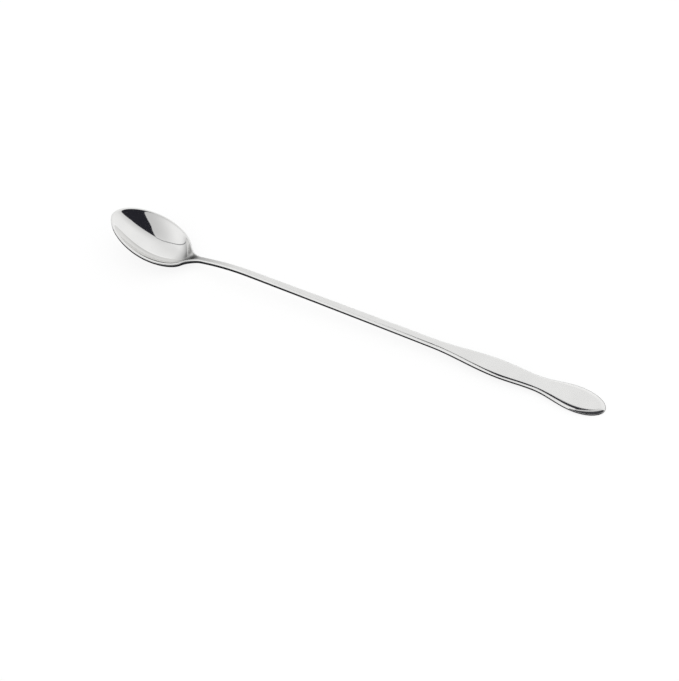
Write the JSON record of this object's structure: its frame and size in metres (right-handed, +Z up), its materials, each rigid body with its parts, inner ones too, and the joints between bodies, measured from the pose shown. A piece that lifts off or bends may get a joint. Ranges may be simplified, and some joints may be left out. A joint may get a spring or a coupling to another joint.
{
  "type": "stirring spoon",
  "caption": "Long-handled stainless stirring spoon: a small egg-shaped bowl, a slim swan-neck shank and a waisted flat paddle end, stamped in one piece.",
  "frame": {"origin": "middle of the spoon's bounding box in plan, on the table it lies on", "axes": "+X along the handle from the bowl's tip to the handle's end, +Y across the spoon, +Z up out of the bowl"},
  "size_m": [0.195, 0.0208, 0.0129],
  "materials": {
    "steel": "bright-polished bowl and edges, satin handle face"
  },
  "bodies": {
    "root": {"spoon": "steel"}
  },
  "joints": []
}
